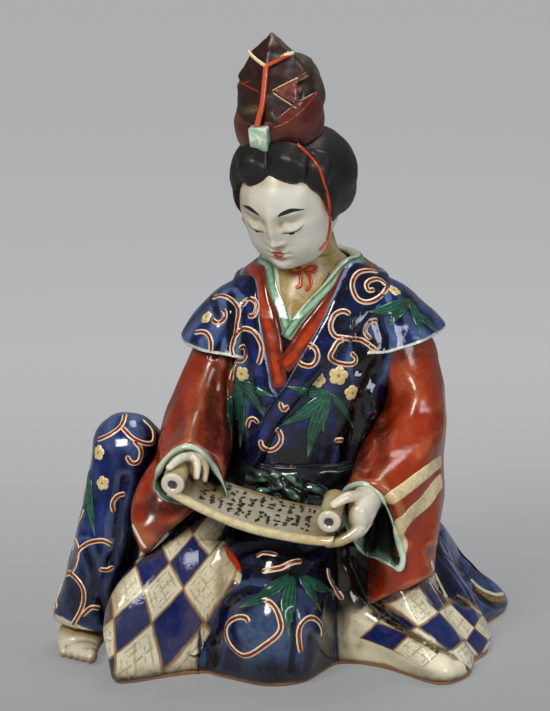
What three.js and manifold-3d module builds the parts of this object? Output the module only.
// A hollow porcelain figurine: a seated reader in a pleated cap and layered robes, holding an open scroll.
// It is built as a potter builds it, from press-moulded shells and hand-made details that are luted together
// with slip before firing. Each of them is its own closed solid, and a narrow seam is left at every joint.
// Units are millimetres. +Z is up, the figure faces -Y, and its own right hand is on the -X side.
import * as THREE from "three";
import { ConvexGeometry } from "three/addons/geometries/ConvexGeometry.js";
import { mergeVertices } from "three/addons/utils/BufferGeometryUtils.js";
import Module from "manifold-3d";

const wasm = await Module();
wasm.setup();

// Clay thicknesses and joints.
const seam = 0.4; // open line left at each luted joint
const tidiness = 0.1; // slivers smaller than this are smoothed away
const crumb = 0.002; // and after the last trim, those smaller than this
const bodyWall = 5; // press-moulded wall of the robe and the torso
const boreRadius = 6; // bore up the neck
const legWall = 5; // press-moulded wall of the raised leg

// Heights above the floor, each from the one that carries it.
const waistHeight = 64; // joint between the robe and the torso
const torsoLength = 89; // waist joint to the collar's edge
const neckTop = waistHeight + torsoLength;
const shoulderDrop = 33; // collar's edge down to the middle of the arms at the shoulders
const shoulderHeight = neckTop - shoulderDrop;
const headRise = 26; // collar's edge up to the middle of the head
const headHeight = neckTop + headRise;
const capRise = 24; // middle of the head up to where the cap sits on the hair
const capHeight = headHeight + capRise;
const kneeHeight = 79; // middle of the raised knee

// Places in plan.
const waist = { x: 9, y: 13, halfWidth: 32, halfDepth: 26 };
const neckPlace = { x: 13, y: 11 };
const headPlace = { x: 5.5, y: -5 };
const hairPlace = { x: 7, y: 0 };
const capPlace = { x: 1.5, y: -5 };
const headTurn = THREE.MathUtils.degToRad(-22); // towards the right hand
const headBow = THREE.MathUtils.degToRad(27); // forwards and down
const capBow = THREE.MathUtils.degToRad(15);

// Scroll.
const rollRadius = 4.3;
const rollLength = 32;
const sheetThickness = 3;
const sheetSag = 6.5;
const rollDimple = { radius: 1.7, depth: 1 };
const rightRollEnd = new THREE.Vector3(-37.5, -46, shoulderHeight - 42);
const leftRollEnd = new THREE.Vector3(19.5, -52, shoulderHeight - 54.5);

// Bands laid on the chest: how far each stands over the torso.
const strapDepth = 5; // half of a band before it is cut to that height
const greenLift = 1.8;
const redLift = 2.9;
const lapelLift = 3.8;

const X_AXIS = new THREE.Vector3(1, 0, 0);
const Z_AXIS = new THREE.Vector3(0, 0, 1);
const glaze = {
  blue: 0x1d2f6b,
  red: 0xb5361c,
  white: 0xe8e4d8,
  cream: 0xd9cda4,
  green: 0x4f9a78,
  black: 0x1b1a1a,
  brown: 0x5a2a22,
  dark: 0x23262b,
};

// A closed solid from a closed three.js geometry.
function solid(geometry) {
  const bare = new THREE.BufferGeometry();
  bare.setAttribute("position", geometry.getAttribute("position"));
  if (geometry.index) bare.setIndex(geometry.index);
  const merged = mergeVertices(bare, 1e-4);
  return new wasm.Manifold(
    new wasm.Mesh({
      numProp: 3,
      vertProperties: merged.attributes.position.array,
      triVerts: new Uint32Array(merged.index.array),
    }),
  );
}

const union = (shapes) => shapes.reduce((all, shape) => all.add(shape));

// The skin of a stack of rings with the same number of points, closed at both ends by a point. Each ring
// runs anticlockwise seen from the far end.
function skin(rings, poles) {
  const around = rings[0].length;
  const points = rings.flat();
  const faces = [];
  for (let i = 0; i + 1 < rings.length; i++) {
    for (let j = 0; j < around; j++) {
      const [a, b] = [i * around + j, i * around + ((j + 1) % around)];
      faces.push(a, b, b + around, a, b + around, a + around);
    }
  }
  const ends = [0, (rings.length - 1) * around];
  ends.forEach((first, end) => {
    points.push(poles[end]);
    for (let j = 0; j < around; j++) {
      const [a, b] = [first + j, first + ((j + 1) % around)];
      faces.push(...(end ? [a, b, points.length - 1] : [b, a, points.length - 1]));
    }
  });
  const geometry = new THREE.BufferGeometry().setFromPoints(points);
  geometry.setIndex(faces);
  return solid(geometry);
}

const curve = (points, closed = false) => new THREE.CatmullRomCurve3(points, closed, "catmullrom", 0.5);

// A body through oval sections. A station is [x, y, z, half width, half depth]; sections of an upright body
// lie level, and those of a limb stand square to its path with their width along `side`.
// `grow` swells it evenly, `domes` rounds its two ends by that many millimetres, and `fold(angle, t)` adds
// a drapery fold of so many millimetres.
function loft(stations, options) {
  const { upright = false, side = X_AXIS, steps = 2, around = 20, domes = [0, 0], fold, grow = 0 } = options;
  const path = curve(stations.map((s) => new THREE.Vector3(s[0], s[1], s[2])));
  const sizes = curve(stations.map((s) => new THREE.Vector3(s[3], s[4], 0)));
  const heading = (t) => (upright ? Z_AXIS : path.getTangent(t));
  const ring = (t, along, scale) => {
    const tangent = heading(t);
    const across = side.clone().addScaledVector(tangent, -side.dot(tangent)).normalize();
    const deep = tangent.clone().cross(across);
    const centre = path.getPoint(t).addScaledVector(tangent, along);
    const size = sizes.getPoint(t);
    return Array.from({ length: around }, (_, j) => {
      const angle = (2 * Math.PI * j) / around;
      const swell = grow + (fold ? fold(angle, t) : 0);
      return centre
        .clone()
        .addScaledVector(across, (size.x + swell) * scale * Math.cos(angle))
        .addScaledVector(deep, (size.y + swell) * scale * Math.sin(angle));
    });
  };
  const count = (stations.length - 1) * steps;
  const rings = Array.from({ length: count + 1 }, (_, i) => ring(i / count, 0, 1));
  const poles = [0, 1].map((t) => {
    const out = t ? 1 : -1;
    const reach = domes[t] ? domes[t] + grow : Math.abs(grow);
    const bends = domes[t] ? [0.45, 1] : [];
    for (const bend of bends) {
      const extra = ring(t, out * reach * Math.sin(bend), Math.cos(bend));
      if (t) rings.push(extra);
      else rings.unshift(extra);
    }
    if (!domes[t] && grow) {
      if (t) rings.push(ring(t, reach, 1));
      else rings.unshift(ring(t, -reach, 1));
    }
    return path.getPoint(t).addScaledVector(heading(t), out * reach);
  });
  return skin(rings, poles);
}

// A ball with its three half sizes, in a frame of its own.
function ball(centre, halves, { frame = new THREE.Matrix4(), across = 18, down = 11, grow = 0 } = {}) {
  const geometry = new THREE.SphereGeometry(1, across, down);
  geometry.scale(halves[0] + grow, halves[1] + grow, halves[2] + grow);
  geometry.translate(...centre);
  return solid(geometry.applyMatrix4(frame));
}

function block(low, high, frame = new THREE.Matrix4()) {
  const geometry = new THREE.BoxGeometry(high[0] - low[0], high[1] - low[1], high[2] - low[2]);
  geometry.translate((low[0] + high[0]) / 2, (low[1] + high[1]) / 2, (low[2] + high[2]) / 2);
  return solid(geometry.applyMatrix4(frame));
}

// A faceted lump round some points, swelled from its middle.
function lump(points, grow) {
  const corners = points.map((p) => new THREE.Vector3(...p));
  const middle = corners.reduce((sum, p) => sum.add(p), new THREE.Vector3()).divideScalar(corners.length);
  for (const p of corners) p.add(p.clone().sub(middle).setLength(grow * 1.6));
  return solid(new ConvexGeometry(corners));
}

// A thick round line through points, such as a finger or a cord, thinning from one radius to another.
function limb(points, radii, { frame, around = 7, steps = 2, grow = 0 } = {}) {
  const placed = points.map((p) => new THREE.Vector3(...p));
  if (frame) placed.forEach((p) => p.applyMatrix4(frame));
  const stations = placed.map((p, i) => {
    const radius = radii[0] + ((radii[1] - radii[0]) * i) / (points.length - 1);
    return [p.x, p.y, p.z, radius, radius];
  });
  const run = placed[placed.length - 1].clone().sub(placed[0]).normalize();
  const side = Math.abs(run.x) < 0.8 ? X_AXIS : Z_AXIS;
  return loft(stations, { side, around, steps, grow, domes: radii.map((r) => r * 0.8) });
}

const frameAt = (place, height, turn, bow) =>
  new THREE.Matrix4()
    .makeTranslation(place.x, place.y, height)
    .multiply(new THREE.Matrix4().makeRotationZ(turn))
    .multiply(new THREE.Matrix4().makeRotationX(bow));

const floorCut = () => block([-200, -200, -50], [200, 200, 0]);

// The robe below the waist. Each line is where a fold or a crease meets the floor, anticlockwise seen from
// above from the middle of the lap: [x, y, how upright it stands, how far it bellies out].
const robeFolds = [
  [-4, -43, 5, 5],
  [12, -38, 4.5, 5],
  [25, -18, 2.5, 0],
  [40, -22, 1.2, 1],
  [60, -42, 1.1, 4],
  [73, -33, 1.05, 4],
  [78, -14, 1, 0],
  [83, -3, 1.1, 3],
  [85, 14, 1.4, 2],
  [82, 32, 2, 0],
  [92, 58, 1.6, 0],
  [66, 60, 1.7, 3],
  [42, 56, 1.5, 0],
  [12, 60, 1.6, 4],
  [-16, 53, 1.8, 2],
  [-42, 36, 2, 3],
  [-50, 4, 3, 0],
  [-60, -24, 3, 2],
  [-58, -41, 3.4, 3],
  [-29, -30, 3.2, 0],
];
const robeShares = [0, 0.125, 0.266, 0.422, 0.578, 0.719, 0.844, 0.938, 1];
const robeLevels = robeShares.map((share) => share * waistHeight);
const robeAround = 54;

// Sections of the robe, each moulded by itself, from one crease to the next.
const robeSections = [
  { name: "robe_lap", colour: "blue", from: 19, to: 2 },
  { name: "robe_fold_front", colour: "white", from: 2, to: 6 },
  { name: "robe_fold_side", colour: "white", from: 6, to: 9 },
  { name: "robe_train", colour: "blue", from: 9, to: 12 },
  { name: "robe_back", colour: "blue", from: 12, to: 16 },
  { name: "robe_panel_right", colour: "white", from: 16, to: 19 },
];

const bearingOf = (fold) => Math.atan2(fold[1] - waist.y, fold[0] - waist.x);

// The robe's closed outline at a height, swelled by `grow`.
function robeOutline(level, grow) {
  const rise = level / waistHeight;
  const corners = robeFolds.map((fold) => {
    const [x, y, upright, belly] = fold;
    const out = new THREE.Vector3(Math.cos(bearingOf(fold)), Math.sin(bearingOf(fold)), 0);
    const top = new THREE.Vector3(waist.x, waist.y, level);
    top.add(new THREE.Vector3(waist.halfWidth * out.x, waist.halfDepth * out.y, 0));
    const swell = belly * Math.sin(Math.PI * Math.min(1, rise * 1.3));
    return new THREE.Vector3(x, y, level).addScaledVector(out, swell).lerp(top, rise ** upright);
  });
  const outline = curve(corners, true);
  return Array.from({ length: robeAround }, (_, j) => {
    const tangent = outline.getTangent(j / robeAround);
    const outwards = new THREE.Vector3(tangent.y, -tangent.x, 0);
    return outline.getPoint(j / robeAround).addScaledVector(outwards, grow);
  });
}

function robe(grow) {
  const rings = robeLevels.map((level) => robeOutline(level, grow));
  const ends = [-Math.abs(grow), waistHeight + Math.abs(grow)];
  if (grow) {
    rings.unshift(robeOutline(0, grow).map((p) => p.setZ(ends[0])));
    rings.push(robeOutline(waistHeight, grow).map((p) => p.setZ(ends[1])));
  }
  return skin(rings, ends.map((z) => new THREE.Vector3(waist.x, waist.y, z)));
}

// The wedge of the robe between two creases, drawn back from both by half a seam.
function robeWedge({ from, to }) {
  const start = bearingOf(robeFolds[from]);
  let sweep = bearingOf(robeFolds[to]) - start;
  if (sweep < 0) sweep += 2 * Math.PI;
  const middle = start + sweep / 2;
  const back = seam / 2 / Math.sin(sweep / 2);
  const apex = new THREE.Vector2(waist.x + back * Math.cos(middle), waist.y + back * Math.sin(middle));
  const outline = [apex];
  for (let i = 0; i <= 4; i++) {
    const bearing = start + (sweep * i) / 4;
    outline.push(new THREE.Vector2(Math.cos(bearing), Math.sin(bearing)).multiplyScalar(200).add(apex));
  }
  const depth = waistHeight + 2;
  const geometry = new THREE.ExtrudeGeometry(new THREE.Shape(outline), { depth, bevelEnabled: false });
  geometry.translate(0, 0, -1);
  return solid(geometry);
}

// A height on the torso, as a share of the way from the waist to the collar's edge.
const upTorso = (share) => waistHeight + share * torsoLength;

const torsoStations = [
  [waist.x, waist.y, waistHeight + seam, waist.halfWidth, waist.halfDepth],
  [9.5, 13, upTorso(0.146), 30.5, 25],
  [11, 14, upTorso(0.315), 32.5, 26],
  [13, 15, upTorso(0.494), 36, 27],
  [14.5, 15, upTorso(0.64), 39, 26],
  [15, 15, upTorso(0.764), 37, 23.5],
  [14.5, 15, upTorso(0.876), 29, 20],
  [13.5, 14, upTorso(0.955), 20, 17],
];
const torso = (grow) => loft(torsoStations, { upright: true, around: 24, steps: 1, grow });

// The collars stand a little higher than the torso, round the neck.
const collarStation = [13.5, 13, neckTop + 1, 15.5, 14.5];
const collarEnvelope = (lift) =>
  loft([...torsoStations, collarStation], { upright: true, around: 24, steps: 1, grow: lift });

// The torso's section at a height, and a point of its front at a width.
function torsoAt(z) {
  const stations = [...torsoStations, collarStation];
  const next = stations.findIndex((s) => s[2] > z);
  const [low, high] = next < 1 ? stations.slice(-2) : stations.slice(next - 1, next + 1);
  const share = (z - low[2]) / (high[2] - low[2]);
  const [x, y, , halfWidth, halfDepth] = low.map((value, i) => value + (high[i] - value) * share);
  return { x, y, halfWidth, halfDepth };
}
function onChest([x, z]) {
  const level = torsoAt(z);
  const share = Math.min(0.98, Math.abs(x - level.x) / level.halfWidth);
  return new THREE.Vector3(x, level.y - level.halfDepth * Math.sqrt(1 - share * share), z);
}

// A band of cloth laid over the torso: down the chest on one side, from the middle of the nape. `run` is
// [x, share of the torso's height] down the front, `nape` is [x, y, z] from the middle of the back to the
// side of the neck.
function strap(nape, run, width, grow) {
  const front = run.map(([x, share]) => onChest([x, upTorso(share)]));
  const path = curve([...nape.map((p) => new THREE.Vector3(...p)), ...front]);
  const count = (nape.length + run.length - 1) * 2;
  const rings = [];
  for (let i = 0; i <= count; i++) {
    const centre = path.getPoint(i / count);
    if (i === count) centre.addScaledVector(path.getTangent(1), grow);
    const tangent = path.getTangent(i / count);
    const level = torsoAt(Math.min(centre.z, neckTop));
    const out = new THREE.Vector3(centre.x - level.x, centre.y - level.y, 3).normalize();
    const across = out.clone().cross(tangent).normalize();
    out.copy(tangent).cross(across);
    across.multiplyScalar(width / 2 + grow);
    out.multiplyScalar(strapDepth + grow);
    const corner = (a, b) => centre.clone().addScaledVector(across, a).addScaledVector(out, b);
    rings.push([corner(1, 1), corner(-1, 1), corner(-1, -1), corner(1, -1)]);
  }
  return skin(rings, [path.getPoint(0), path.getPoint(1).addScaledVector(path.getTangent(1), grow)]);
}

const headFrame = frameAt(headPlace, headHeight, headTurn, headBow);
const hairFrame = frameAt(hairPlace, headHeight + 7.5, headTurn, headBow * 0.3);
const capFrame = frameAt(capPlace, capHeight, headTurn, capBow);
const skullHalves = [19, 21, 24];
const hairHalves = [24, 24, 19];
const jawMiddle = [0.5, -7.5, -13];
const jawHalves = [15.5, 12, 13.5];
const fringeMiddle = [0, 0.5, 3];
const fringeHalves = [20.8, 22.8, 21.6];

// Head and neck: one thrown and pressed piece, with the bare chest that fills the collar.
function head(grow) {
  const frame = headFrame;
  const face = ball([0, 0, 0], skullHalves, { frame, grow, across: 18, down: 12 });
  const jaw = ball(jawMiddle, jawHalves, { frame, grow, across: 14, down: 9 });
  const bridge = [[0, -19.5, 0], [0, -22.2, -6], [0, -21.5, -9]];
  const nose = limb(bridge, [1.2, 2], { frame, grow, around: 6, steps: 1 });
  const neck = loft(
    [
      [neckPlace.x, neckPlace.y, neckTop - 10, 13, 12],
      [neckPlace.x, neckPlace.y, neckTop - 2, 10.8, 10.5],
      [neckPlace.x - 3, neckPlace.y - 5, headHeight - 8, 9.8, 9.5],
    ],
    { upright: true, grow, around: 14, steps: 1 },
  );
  const chest = loft(
    [
      [5, -5, neckTop - 25, 5, 6],
      [9, -2, neckTop - 15, 10, 9.5],
      [12.5, 5, neckTop - 5, 12, 11],
      [12.5, 8, neckTop + 2, 10.5, 10.5],
    ],
    { upright: true, grow, around: 12, steps: 1 },
  );
  return union([face, jaw, nose, neck, chest]);
}

// A bore up the neck into the middle of the head, so that the clay dries and fires evenly.
const headBore = () =>
  limb(
    [
      [neckPlace.x, neckPlace.y, neckTop - 30],
      [neckPlace.x - 1, neckPlace.y - 1, headHeight - 16],
      [headPlace.x + 2, headPlace.y + 4, headHeight + 2],
    ],
    [boreRadius, boreRadius],
    { around: 10 },
  );

function hair(grow) {
  const mass = ball([0, 0, 0], hairHalves, { frame: hairFrame, grow, across: 18, down: 12 });
  const lock = (x, y) => ball([x, y, -6], [6.5, 13, 12.5], { frame: hairFrame, grow, across: 10, down: 7 });
  const fringe = ball(fringeMiddle, fringeHalves, { frame: headFrame, grow, across: 16, down: 11 });
  const faceWindow = ball([0, -31, -9], [30, 30, 33.5], { frame: headFrame, across: 18, down: 12 });
  return union([mass, fringe, lock(16.5, 1), lock(-15.5, 1)]).subtract(faceWindow);
}

const capBrim = (grow) =>
  loft(
    [
      [0, 1, -5, 14, 14.5],
      [0, 1, -1, 16.2, 17],
      [0, 1.5, 5, 16.6, 17.5],
      [0.3, 2, 9, 15.6, 16.5],
    ],
    { upright: true, grow, around: 22 },
  );
const capCrown = (grow) =>
  loft(
    [
      [0.5, 3, 6, 15, 15],
      [1, 4.5, 11, 15.3, 14.8],
      [1.5, 6.5, 17, 13.8, 13.5],
      [1.5, 8, 22, 10.5, 11],
    ],
    { upright: true, grow, around: 20, domes: [0, 4] },
  );

// The folded front of the cap: a lower fold, and an upper one like a steep roof with its eaves to the sides.
const upperFold = [
  [0.5, 1, 38.5], [-8, 0, 30.5], [8.5, 0, 30.5], [0, -5.5, 28.5], [-15, 0, 20],
  [14.5, 0, 21.5], [0, -12.5, 16], [-9, 12, 21], [9, 12, 21], [0, 9, 33],
];
const lowerFold = [
  [-13.5, -3, 19], [12, -3, 19], [0, -12, 19], [-14.5, -5, 7], [14, -5, 7],
  [-7, -14.8, 7], [7, -14.8, 7], [-11, 9, 7], [11, 9, 7], [-9, 9, 19], [9, 9, 19],
];
const capPleats = (grow) => lump(upperFold, grow).add(lump(lowerFold, grow));

const capCord = (grow) => {
  const post = limb([[0, -17.6, 8], [0, -15.8, 11], [0, -13, 16], [0, -6.5, 28]], [1.7, 1.5], { grow });
  const arm = (x) =>
    limb([[0, -6.5, 28], [x * 0.55, -3.7, 29.4], [x, -0.8, 30.5]], [1.3, 1], { grow, steps: 1 });
  return union([post, arm(-8.2), arm(8.2)]);
};
const capBadge = (grow) =>
  block([-4.6 - grow, -19.4 - grow, -1.5 - grow], [4.6 + grow, -14 + grow, 8 + grow]);

const inFrame = (frame) => (shape) => shape.transform(frame.elements);
const onCap = inFrame(capFrame);

// The cord that ties the cap: from the brim over the hair and down the edge of the cheek. It lies on whatever
// oval of the head reaches furthest there.
const cordRun = [
  [8, -25, 18], [16.5, -20, 10.5], [20.5, -15, 0], [21.5, -13, -10.5], [20, -12.5, -18], [15.5, -14, -23.5],
].map(([x, y, rise]) => [x, y, headHeight + rise]);
const offset = (frame, by) => frame.clone().multiply(new THREE.Matrix4().makeTranslation(...by));
const headOvals = [
  { frame: hairFrame, halves: hairHalves, low: headHeight - 7 },
  { frame: offset(headFrame, fringeMiddle), halves: fringeHalves, low: headHeight + 5 },
  { frame: headFrame, halves: skullHalves, low: 0 },
  { frame: offset(headFrame, jawMiddle), halves: jawHalves, low: 0 },
];
function onHead(point) {
  const middle = new THREE.Vector3().setFromMatrixPosition(headFrame);
  const places = headOvals
    .filter(({ low }) => point[2] > low)
    .map(({ frame, halves }) => {
      const local = new THREE.Vector3(...point).applyMatrix4(frame.clone().invert());
      const size = Math.hypot(local.x / halves[0], local.y / halves[1], local.z / halves[2]);
      return local.divideScalar(size).applyMatrix4(frame);
    });
  return places.reduce((far, p) => (p.distanceTo(middle) > far.distanceTo(middle) ? p : far)).toArray();
}
const chinCord = (grow) => limb(cordRun.map(onHead), [1.4, 1.4], { grow });

const chinBow = (grow) => {
  const knot = onChest([6.5, neckTop - 6]).add(new THREE.Vector3(0, -3.4, 0)).toArray();
  const foot = (x, z) => onChest([x, z]).add(new THREE.Vector3(0, -3.2, 0)).toArray();
  const tailRight = limb([knot, foot(3.5, neckTop - 11), foot(2.5, neckTop - 17)], [1.6, 1.1], { grow });
  const tailLeft = limb([knot, foot(9, neckTop - 12), foot(9.5, neckTop - 19)], [1.6, 1.1], { grow });
  return union([tailRight, tailLeft, ball(knot, [6, 2.4, 2.3], { grow, across: 12, down: 8 })]);
};

// Each run of a band down the chest: [x, share of the torso's height].
const greenRuns = {
  right: [[-2.5, 0.966], [-0.5, 0.876], [3, 0.73], [5, 0.652]],
  left: [[28, 0.955], [21, 0.876], [9, 0.753], [1, 0.674]],
};
const redRuns = {
  right: [[-7, 0.933], [-4.5, 0.831], [-1, 0.697], [5, 0.506]],
  left: [[31.5, 0.91], [24, 0.82], [12, 0.685], [2, 0.551]],
};
const lapelRuns = {
  right: [[-11, 0.876], [-8.5, 0.775], [-4.5, 0.64], [3, 0.449]],
  left: [[36, 0.876], [29, 0.764], [17, 0.607], [3, 0.416], [-6, 0.236], [-9, 0.112]],
};
const bandPair = (runs, napeHeight, reach, width, lift) => (grow) => {
  const napeOf = (side) => [
    [13.5 - side, 14 + reach, napeHeight],
    [13.5 + side * reach * 0.75, 13 + reach * 0.75, napeHeight - 0.5],
    [13.5 + side * (reach + 1), 13, napeHeight - 2],
  ];
  const both = strap(napeOf(-1), runs.right, width, grow).add(strap(napeOf(1), runs.left, width, grow));
  return both.intersect(collarEnvelope(lift + grow));
};
const greenCollar = bandPair(greenRuns, neckTop, 15, 4.5, greenLift);
const redCollar = bandPair(redRuns, neckTop - 4, 18, 6.5, redLift);
const vestLapel = bandPair(lapelRuns, neckTop - 9, 21, 7, lapelLift);

// Sleeves: an upper arm and forearm, and the bag of cloth that hangs from the wrist.
const sleeveFold = (count, depth, phase) => (angle, t) =>
  depth * Math.sin(count * angle + phase + 5 * t) * Math.sin(Math.PI * t);
function rightSleeve(grow) {
  const arm = loft(
    [
      [-15, 14, shoulderHeight + 1, 13.5, 14],
      [-22.5, 12, shoulderHeight - 14, 13.5, 15],
      [-28, 5, shoulderHeight - 28, 14, 16],
      [-30, -11, shoulderHeight - 38, 14, 15],
      [-31, -29, shoulderHeight - 42, 12, 12.5],
    ],
    { around: 16, grow, fold: sleeveFold(3, 0.9, 0.5) },
  );
  const bag = loft(
    [
      [-47, -22, shoulderHeight - 74, 4, 5],
      [-47, -21, shoulderHeight - 64, 8, 8.5],
      [-43, -17, shoulderHeight - 53, 10, 11],
      [-36, -11, shoulderHeight - 40, 9, 11],
    ],
    { upright: true, around: 14, grow, domes: [2, 2] },
  );
  return arm.add(bag);
}
const rightCuff = () =>
  loft(
    [
      [-31.5, -40, shoulderHeight - 42.5, 10.5, 11],
      [-31, -25, shoulderHeight - 42, 9.5, 10],
      [-30, -13, shoulderHeight - 39, 6, 6.5],
    ],
    { around: 14, steps: 1, domes: [0, 3] },
  );

function leftSleeve(grow) {
  const arm = loft(
    [
      [45, 14, shoulderHeight + 1, 14, 15],
      [51.5, 12, shoulderHeight - 16, 13, 16.5],
      [53, 5, shoulderHeight - 32, 13.5, 18],
      [45, -11, shoulderHeight - 48, 15, 18],
      [36, -30, shoulderHeight - 58, 12.5, 16.5],
    ],
    { around: 16, grow, fold: sleeveFold(3, 1, 2) },
  );
  const bag = loft(
    [
      [49, -13, shoulderHeight - 94, 10, 9],
      [47.5, -12, shoulderHeight - 81, 13, 16],
      [48, -8, shoulderHeight - 65, 15, 19],
      [51, -2, shoulderHeight - 48, 13.5, 19],
      [52, 5, shoulderHeight - 32, 10, 15],
    ],
    { upright: true, around: 16, steps: 1, grow, domes: [2, 2] },
  );
  return arm.add(bag);
}
const leftCuff = () =>
  loft(
    [
      [32.5, -44, shoulderHeight - 60, 10.5, 14.5],
      [36, -28, shoulderHeight - 58, 10, 14],
      [42, -14, shoulderHeight - 53, 6.5, 9],
    ],
    { around: 14, steps: 1, domes: [0, 3] },
  );

// The sleeveless vest's wings, which stand over the sleeves at the shoulders.
const wingHem = shoulderHeight + 0.5;
const rightWing = (grow) =>
  loft(
    [
      [-14.5, 13.5, wingHem - 3, 20.5, 22],
      [-14.5, 14, wingHem + 1, 20.5, 21.5],
      [-11, 14.5, neckTop - 23, 19, 20.5],
      [-5, 15, neckTop - 15, 18, 19],
      [2, 15, neckTop - 9, 15.5, 17.5],
      [8, 14, neckTop - 4, 12, 15],
    ],
    { upright: true, around: 22, grow },
  );
const leftWing = (grow) =>
  loft(
    [
      [42.5, 13.5, wingHem - 1, 21.5, 22],
      [42.5, 14, wingHem + 2, 21.5, 21.5],
      [38.5, 14.5, neckTop - 22, 20.5, 20.5],
      [32, 15, neckTop - 14, 19.5, 19],
      [26, 15, neckTop - 9, 17, 17.5],
      [20, 14, neckTop - 4, 13, 15],
    ],
    { upright: true, around: 22, grow },
  );

const obiHeight = 13;
const obi = (grow) =>
  loft(
    [
      [waist.x, waist.y, waistHeight - 4, waist.halfWidth + 3, waist.halfDepth + 3],
      [waist.x, waist.y, waistHeight + 3, waist.halfWidth + 2.5, waist.halfDepth + 2.5],
      [9.5, 13, waistHeight + obiHeight, 33, 27.5],
    ],
    { upright: true, around: 26, steps: 1, grow },
  );
const obiKnot = (grow) => {
  const front = waist.y - waist.halfDepth - 4;
  const middle = [1, front, waistHeight + 6];
  const ribbon = (reach, drop, radius) => {
    const bend = [1 + reach * 0.55, front - 2, waistHeight + 6 - drop * 0.4];
    const end = [1 + reach, front - 0.5, waistHeight + 6 - drop];
    return limb([middle, bend, end], [1.8, radius], { grow, around: 6 });
  };
  return union([
    ball(middle, [4, 3.5, 3.5], { grow, across: 10, down: 7 }),
    ribbon(-11, 0, 3), ribbon(11, 0, 3), ribbon(-8, 9, 2.6), ribbon(6, 10, 3),
  ]);
};

// The raised right knee, its thigh and the bare foot under the hem.
const hemHeight = 11;
const upShin = (share) => share * kneeHeight;
function raisedLeg(grow) {
  const shin = loft(
    [
      [-72.5, 9, 0, 14, 14.5],
      [-70.5, 7, upShin(0.177), 15.5, 16.5],
      [-66, 5, upShin(0.43), 13.5, 15.5],
      [-61, 5, upShin(0.709), 13, 15],
      [-56.5, 7, kneeHeight, 13.5, 15],
    ],
    { upright: true, around: 18, steps: 1, grow, domes: [0, 14] },
  );
  const thigh = loft(
    [
      [-55, 8, kneeHeight - 1, 13, 14],
      [-42, 16, kneeHeight - 16, 15, 16],
      [-22, 20, kneeHeight - 29, 13, 14],
    ],
    { around: 14, steps: 1, grow, domes: [6, 2] },
  );
  const ankle = block([-120, -60, -5], [0, 17 - grow, hemHeight - grow]);
  return shin.add(thigh).subtract(ankle).subtract(floorCut());
}
const legHollow = () =>
  loft(
    [
      [-72, 12, -2, 14 - legWall, 13 - legWall],
      [-68, 9, upShin(0.253), 14 - legWall, 14.5 - legWall],
      [-61, 6, upShin(0.658), 12.5 - legWall, 14 - legWall],
      [-57, 7, upShin(0.911), 12 - legWall, 13.5 - legWall],
    ],
    { upright: true, around: 12, steps: 1, domes: [0, 5] },
  );
const toeRadius = 2.6;
function foot(grow) {
  const sole = loft(
    [
      [-71, 12, 5, 9, 6],
      [-69, 1, 5.5, 9.5, 6],
      [-67, -6, 4, 9, 4.5],
    ],
    { around: 14, grow, domes: [3, 3] },
  );
  const toes = [0, 1, 2, 3, 4].map((i) => {
    const width = toeRadius * (0.85 + 0.06 * i);
    const middle = [-74 + i * 3.6, -9.5 - 0.5 * i, 2.4 + 0.15 * i];
    return ball(middle, [width, 4, toeRadius], { grow, across: 7, down: 5 });
  });
  return union([sole, ...toes]).subtract(floorCut());
}

// Scroll: two rolled ends on parallel axes and a sagging sheet between them.
const scrollRight = leftRollEnd.clone().sub(rightRollEnd).normalize();
const scrollBack = new THREE.Vector3(0.24, 0.93, 0.2);
scrollBack.addScaledVector(scrollRight, -scrollBack.dot(scrollRight)).normalize();
const scrollUp = scrollRight.clone().cross(scrollBack);
const scrollFrame = (origin) =>
  new THREE.Matrix4().makeBasis(scrollRight, scrollUp.clone().negate(), scrollBack).setPosition(origin);
function roll(end, grow) {
  const r = rollRadius + grow;
  const profile = [
    [0, -grow], [r - 0.6, -grow], [r, 0.6 - grow],
    [r, rollLength - 0.6 + grow], [r - 0.6, rollLength + grow], [0, rollLength + grow],
  ];
  const geometry = new THREE.LatheGeometry(profile.map(([x, y]) => new THREE.Vector2(x, y)), 18);
  geometry.rotateX(Math.PI / 2);
  const body = solid(geometry.applyMatrix4(scrollFrame(end)));
  if (grow) return body;
  const dimple = new THREE.CylinderGeometry(rollDimple.radius, rollDimple.radius, 2 * rollDimple.depth, 12);
  dimple.rotateX(Math.PI / 2);
  return body.subtract(solid(dimple.applyMatrix4(scrollFrame(end))));
}
function scrollSheet(grow) {
  const span = leftRollEnd.distanceTo(rightRollEnd);
  const half = sheetThickness / 2 + grow;
  const line = Array.from({ length: 13 }, (_, i) => {
    const t = i / 12;
    return new THREE.Vector2(t * span, rollRadius - 0.5 + sheetSag * 4 * t * (1 - t) * (0.85 + 0.3 * t));
  });
  const top = line.map((p) => new THREE.Vector2(p.x, p.y - half));
  const bottom = line.map((p) => new THREE.Vector2(p.x, p.y + half)).reverse();
  const geometry = new THREE.ExtrudeGeometry(new THREE.Shape([...top, ...bottom]), {
    depth: rollLength - 1 + 2 * grow,
    bevelEnabled: false,
  });
  geometry.translate(0, 0, 0.5 - grow);
  return solid(geometry.applyMatrix4(scrollFrame(rightRollEnd)));
}

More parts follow.
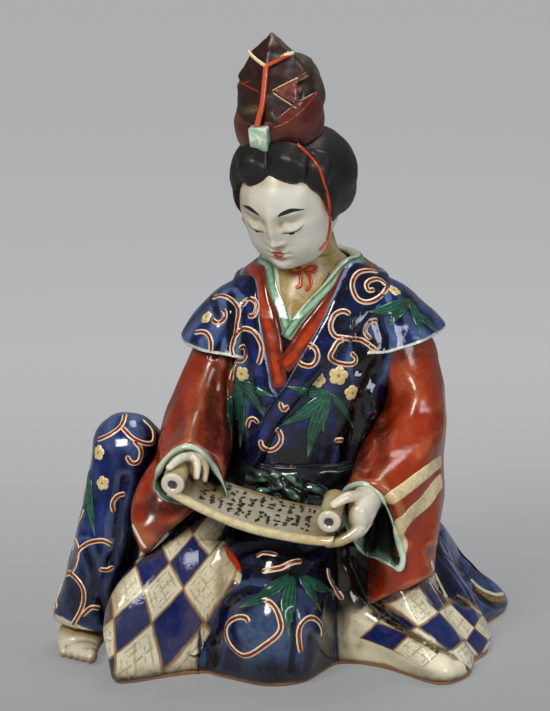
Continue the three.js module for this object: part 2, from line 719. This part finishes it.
// Hands, each with a palm, a thumb over the roll and fingers round it.
function rightHand(grow) {
  const palmHeight = rightRollEnd.z;
  const palm = loft(
    [
      [-29, -14, palmHeight + 1, 6, 5.5],
      [-28, -24, palmHeight + 2, 7, 6.5],
      [-29, -33, palmHeight + 4, 6.5, 5.5],
    ],
    { around: 10, grow, domes: [2, 3] },
  );
  const digits = [
    [[-30, -33, palmHeight + 7], [-36, -38, palmHeight + 8], [-40.5, -40, palmHeight + 3.5]],
    [[-29, -33, palmHeight + 6], [-29, -39, palmHeight + 7], [-27.5, -43, palmHeight + 1.5]],
    [[-27, -30, palmHeight], [-28, -35, palmHeight - 6], [-33, -37, palmHeight - 7.5]],
  ];
  return union([palm, ...digits.map((joints) => limb(joints, [3.2, 2.3], { grow }))]);
}
function leftHand(grow) {
  const palmHeight = leftRollEnd.z;
  const palm = loft(
    [
      [38, -22, palmHeight - 3.5, 6.5, 6.5],
      [34, -32, palmHeight - 1.5, 7, 7],
      [30, -40, palmHeight + 0.5, 5.5, 6.5],
    ],
    { around: 10, grow, domes: [2, 3] },
  );
  const thumbTip = palmHeight + 7.5;
  const thumbJoints = [[32, -36, palmHeight + 4.5], [27, -41, thumbTip], [22.5, -45, thumbTip]];
  const thumb = limb(thumbJoints, [3.2, 2.3], { grow });
  const fingers = [0, 1, 2].map((i) => {
    const knuckle = [32 - i, -34 - i * 4, palmHeight - 4.5];
    const bend = [29, -38 - i * 4, palmHeight - 8];
    const tip = [22 - i, -40 - i * 4.5, palmHeight - 9];
    return limb([knuckle, bend, tip], [2.8, 2.1], { grow });
  });
  return union([palm, thumb, ...fingers]);
}

// The pieces in the order in which they are set: each is trimmed to the ones before it.
const pieces = [
  { name: "head_and_neck", colour: "white", shape: head, hollow: headBore },
  { name: "torso", colour: "blue", shape: torso, hollow: () => torso(-bodyWall) },
  { name: "obi", colour: "dark", shape: obi, hollow: () => torso(-bodyWall) },
  { name: "robe", shape: robe, hollow: () => robe(-bodyWall), sections: robeSections },
  { name: "foot_right", colour: "cream", shape: foot },
  { name: "raised_leg", colour: "blue", shape: raisedLeg, hollow: legHollow },
  { name: "cap_brim", colour: "brown", shape: (grow) => onCap(capBrim(grow)) },
  { name: "chin_cord", colour: "red", shape: chinCord },
  { name: "cap_crown", colour: "dark", shape: (grow) => onCap(capCrown(grow)) },
  { name: "cap_pleats", colour: "brown", shape: (grow) => onCap(capPleats(grow)) },
  { name: "cap_badge", colour: "green", shape: (grow) => onCap(capBadge(grow)) },
  { name: "hair", colour: "black", shape: hair },
  { name: "cap_cord", colour: "red", shape: (grow) => onCap(capCord(grow)) },
  { name: "scroll_roll_right", colour: "white", shape: (grow) => roll(rightRollEnd, grow) },
  { name: "scroll_roll_left", colour: "white", shape: (grow) => roll(leftRollEnd, grow) },
  { name: "scroll_sheet", colour: "cream", shape: scrollSheet },
  { name: "hand_right", colour: "white", shape: rightHand },
  { name: "hand_left", colour: "white", shape: leftHand },
  { name: "sleeve_right", colour: "red", shape: rightSleeve, hollow: rightCuff },
  { name: "sleeve_left", colour: "red", shape: leftSleeve, hollow: leftCuff },
  { name: "vest_lapel", colour: "blue", shape: vestLapel },
  { name: "collar_red", colour: "red", shape: redCollar },
  { name: "collar_green", colour: "green", shape: greenCollar },
  { name: "vest_wing_right", colour: "blue", shape: rightWing },
  { name: "vest_wing_left", colour: "blue", shape: leftWing },
  { name: "chin_bow", colour: "red", shape: chinBow },
  { name: "obi_knot", colour: "green", shape: obiKnot },
];

function boxesMeet(a, b) {
  const [one, two] = [a.boundingBox(), b.boundingBox()];
  return [0, 1, 2].every((k) => one.min[k] < two.max[k] && two.min[k] < one.max[k]);
}

// A shape trimmed to all the cutters that it may meet.
const trim = (shape, cutters) =>
  cutters.filter((cutter) => boxesMeet(shape, cutter)).reduce((left, cutter) => left.subtract(cutter), shape);

// The main body of a trimmed piece, without the crumbs that trimming leaves.
const mainBody = (shape) =>
  shape.decompose().reduce((best, body) => (body.volume() > best.volume() ? body : best));

function mesh(name, colour, shape) {
  const { vertProperties, triVerts } = shape.getMesh();
  const geometry = new THREE.BufferGeometry();
  geometry.setAttribute("position", new THREE.BufferAttribute(vertProperties, 3));
  geometry.setIndex(new THREE.BufferAttribute(triVerts, 1));
  geometry.computeVertexNormals();
  const material = new THREE.MeshStandardMaterial({ color: glaze[colour], roughness: 0.25, metalness: 0 });
  const made = new THREE.Mesh(geometry, material);
  made.name = name;
  return made;
}

const figurine = new THREE.Group();
const seams = [];
const bodies = [];
for (const { name, colour, shape, hollow, sections } of pieces) {
  let trimmed = trim(shape(0), seams);
  if (hollow) trimmed = trimmed.subtract(hollow());
  for (const part of sections ?? [{ name, colour }]) {
    const whole = mainBody(sections ? trimmed.intersect(robeWedge(part)) : trimmed);
    const body = mainBody(trim(whole.simplify(tidiness), bodies)).simplify(crumb);
    bodies.push(body);
    figurine.add(mesh(part.name, part.colour, body));
  }
  seams.push(shape(seam));
}


// The origin is the middle of the underside.
const extent = new THREE.Box3().setFromObject(figurine);
const middle = extent.getCenter(new THREE.Vector3());
for (const m of figurine.children) m.geometry.translate(-middle.x, -middle.y, -extent.min.z);

export default figurine;
